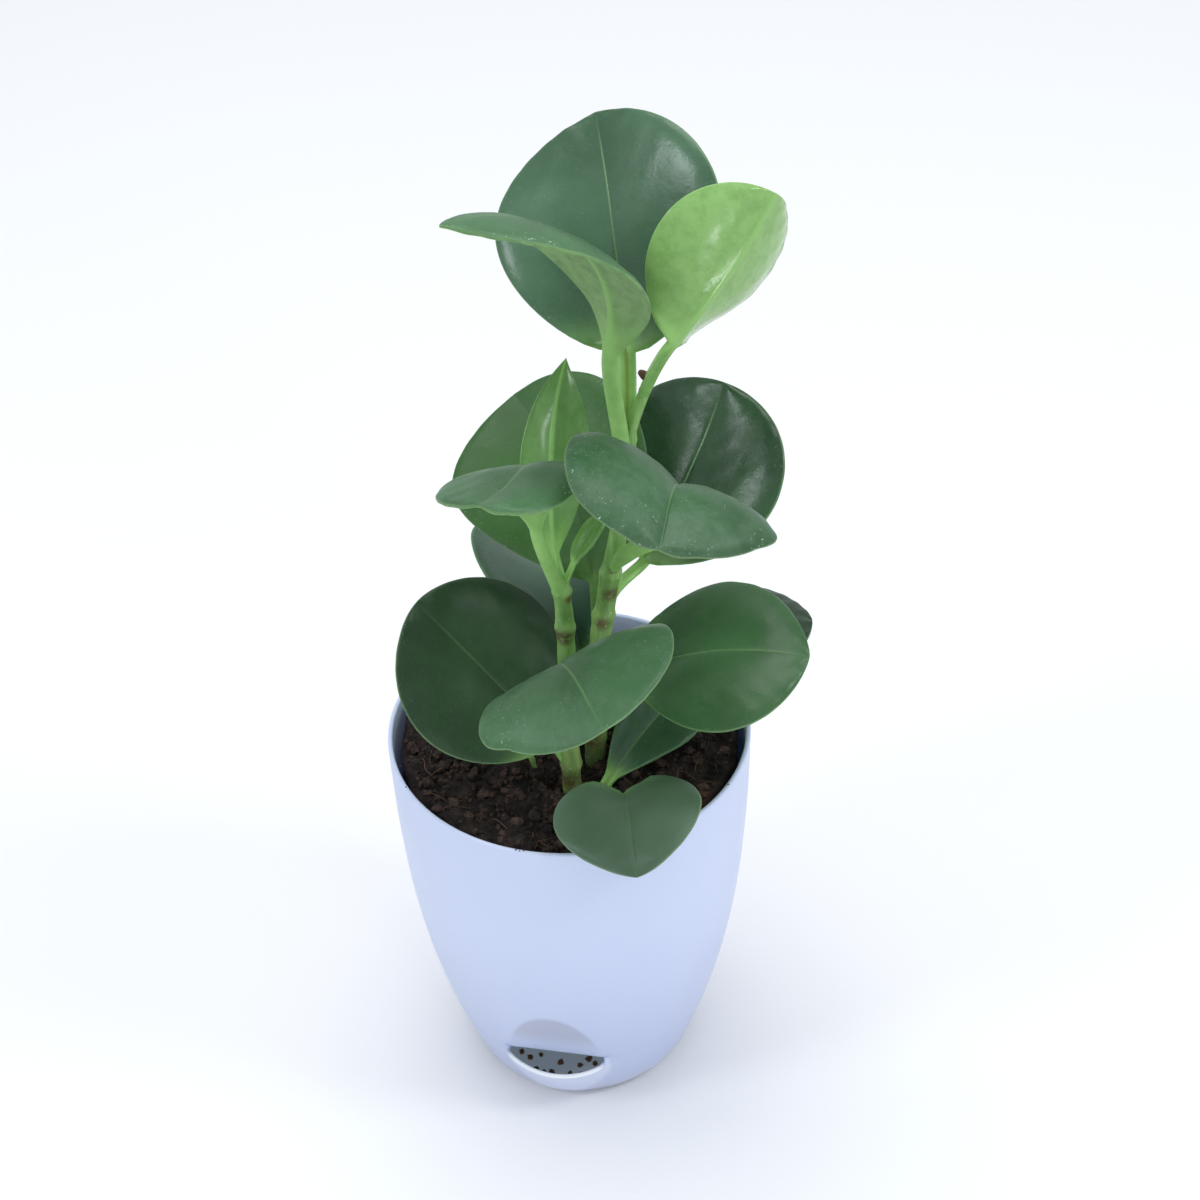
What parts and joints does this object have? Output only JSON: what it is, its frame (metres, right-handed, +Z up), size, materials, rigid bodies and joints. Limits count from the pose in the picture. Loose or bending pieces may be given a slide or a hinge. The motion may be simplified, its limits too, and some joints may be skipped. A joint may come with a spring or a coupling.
{
  "type": "potted peperomia",
  "caption": "Round-leaved peperomia on upright stems, in a tapered white self-watering pot with a fill mouth near its base.",
  "frame": {"origin": "centre of the pot's flat base, on the surface that it stands on", "axes": "+Z up along the pot's axis; -Y through the fill mouth in the front of the pot; +X to the right seen from the front"},
  "size_m": [0.133, 0.137, 0.3493],
  "materials": {
    "white_plastic": "satin, moulded, slightly lavender white",
    "plate_plastic": "matte grey moulding",
    "soil": "damp crumbly potting mix of coir and bark",
    "stem": "fleshy green stem with brown scars",
    "leaf": "waxy dark green leaf, matte and paler below",
    "young_leaf": "glossy light green young leaf"
  },
  "bodies": {
    "root": {"pot": "white_plastic", "drain_plate": "plate_plastic", "soil": "soil", "main_stem": "stem", "side_stem": "stem", "sprout": "young_leaf", "leaf_top_back": "leaf", "leaf_top_left": "leaf", "leaf_top_right": "young_leaf", "leaf_middle_back": "leaf", "leaf_middle_left": "leaf", "leaf_middle_front": "leaf", "leaf_middle_right": "leaf", "leaf_lower_back": "leaf", "leaf_lower_front": "leaf", "leaf_lower_left": "leaf", "leaf_lower_right": "leaf", "leaf_rear_right": "leaf", "leaf_over_rim": "leaf", "leaf_at_soil": "leaf", "leaf_folded": "young_leaf", "leaf_bud": "young_leaf"}
  },
  "joints": []
}
